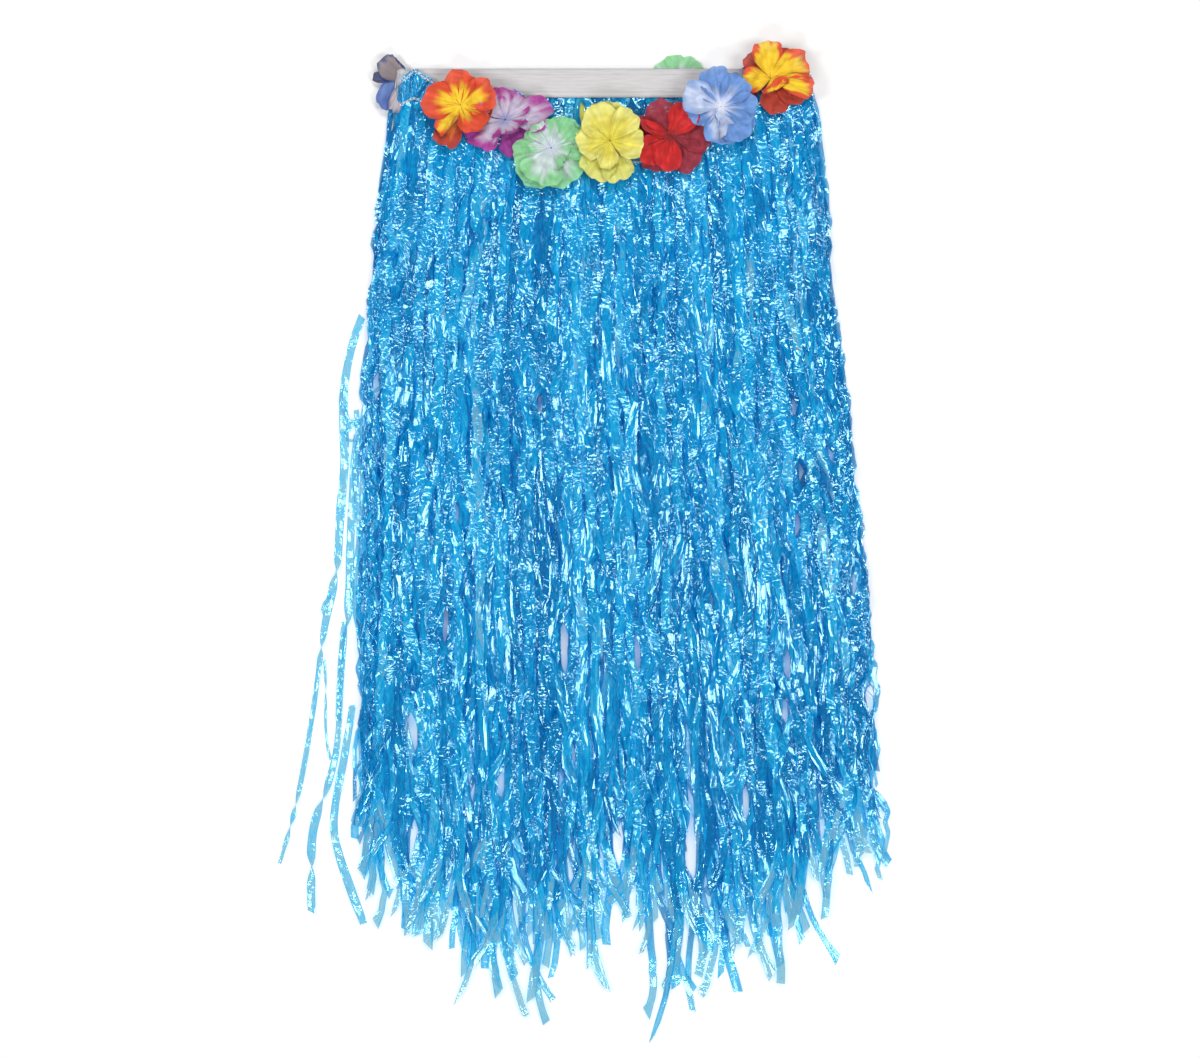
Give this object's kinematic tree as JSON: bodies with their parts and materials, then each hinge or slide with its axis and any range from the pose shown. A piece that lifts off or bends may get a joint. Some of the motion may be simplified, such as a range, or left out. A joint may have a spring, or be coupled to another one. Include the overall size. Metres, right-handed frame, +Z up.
{
  "type": "hula skirt of plastic raffia with cloth flowers",
  "caption": "Long hula skirt laid flat: blue translucent raffia strands on a white elastic waistband, with a ring of two-layer printed cloth flowers.",
  "frame": {"origin": "on the surface that the skirt lies on, under the middle of its box", "axes": "+X across the skirt towards its right side as seen from above, +Y along the strands towards the waist, +Z up off the surface"},
  "size_m": [0.54, 0.8732, 0.0292],
  "materials": {
    "raffia_film": "glossy translucent slit film, crinkled across its length",
    "woven_elastic": "matt woven elastic with fine lengthwise ribs",
    "petal_orange": "thin printed polyester cloth, heat-pleated, matt with a faint sheen, orange-red rim and yellow middle",
    "petal_purple": "thin printed polyester cloth, heat-pleated, matt with a faint sheen, purple rim and white middle",
    "petal_green": "thin printed polyester cloth, heat-pleated, matt with a faint sheen, green rim and white middle",
    "petal_yellow": "thin printed polyester cloth, heat-pleated, matt with a faint sheen, yellow all over",
    "petal_red": "thin printed polyester cloth, heat-pleated, matt with a faint sheen, red all over",
    "petal_blue": "thin printed polyester cloth, heat-pleated, matt with a faint sheen, blue rim and white middle"
  },
  "bodies": {
    "root": {"elastic_band": "woven_elastic", "fringe_back": "raffia_film", "fringe_front": "raffia_film", "strand_outer": "raffia_film", "strand_thread": "raffia_film", "strand_crinkled": "raffia_film", "strand_low": "raffia_film", "flower_01_lower": "petal_orange", "flower_01_upper": "petal_orange", "flower_02_lower": "petal_purple", "flower_02_upper": "petal_purple", "flower_03_lower": "petal_green", "flower_03_upper": "petal_green", "flower_04_lower": "petal_yellow", "flower_04_upper": "petal_yellow", "flower_05_lower": "petal_red", "flower_05_upper": "petal_red", "flower_06_lower": "petal_blue", "flower_06_upper": "petal_blue", "flower_07_lower": "petal_orange", "flower_07_upper": "petal_orange", "flower_08_lower": "petal_purple", "flower_08_upper": "petal_purple", "flower_09_lower": "petal_green", "flower_09_upper": "petal_green", "flower_10_lower": "petal_yellow", "flower_10_upper": "petal_yellow", "flower_11_lower": "petal_red", "flower_11_upper": "petal_red", "flower_12_lower": "petal_blue", "flower_12_upper": "petal_blue"}
  },
  "joints": []
}
